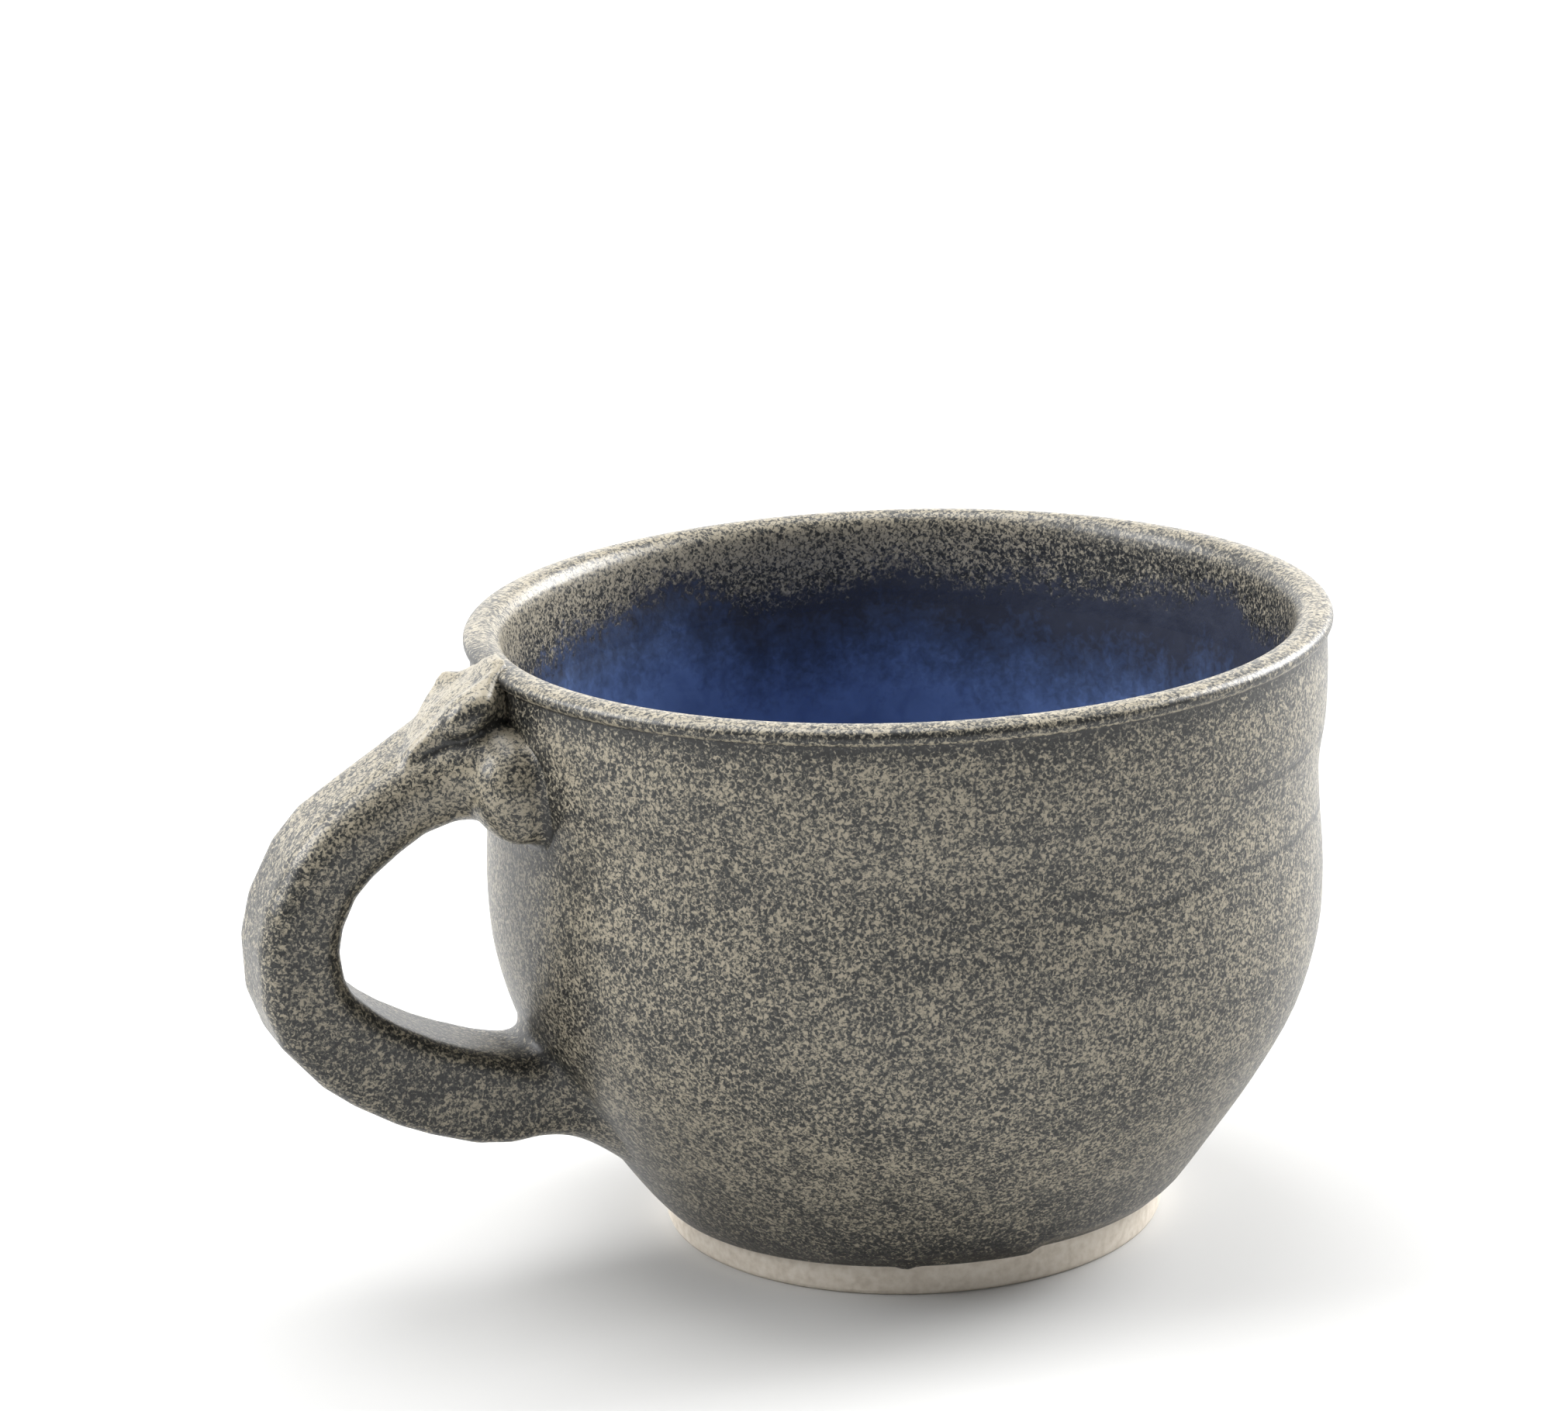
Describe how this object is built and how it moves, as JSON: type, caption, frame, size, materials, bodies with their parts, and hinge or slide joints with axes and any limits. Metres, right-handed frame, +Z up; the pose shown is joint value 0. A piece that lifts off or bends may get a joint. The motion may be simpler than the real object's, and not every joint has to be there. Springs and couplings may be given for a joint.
{
  "type": "espresso cup",
  "caption": "Hand-thrown stoneware espresso cup: speckled grey glaze, blue liner, bare clay foot, pulled strap handle with pressed thumb rest.",
  "frame": {"origin": "middle of the flat base, on the axis of the bowl", "axes": "+Z up along the axis of the bowl, the handle along -X, Y across the handle"},
  "size_m": [0.0978, 0.076, 0.0557],
  "materials": {
    "bare_clay": "bare fired stoneware, pale buff, dry and fine grained",
    "fired_slip": "fired joining slip, buff, dry",
    "speckled_glaze": "satin glaze, tan flecks over slate blue-grey",
    "blue_glaze": "satin cobalt blue liner glaze"
  },
  "bodies": {
    "root": {"clay_bowl": "bare_clay", "clay_handle": "bare_clay", "thumb_rest": "bare_clay", "lower_root_web": "bare_clay", "upper_slip_joint": "fired_slip", "lower_slip_joint": "fired_slip", "outer_glaze": "speckled_glaze", "liner_glaze": "blue_glaze"}
  },
  "joints": []
}
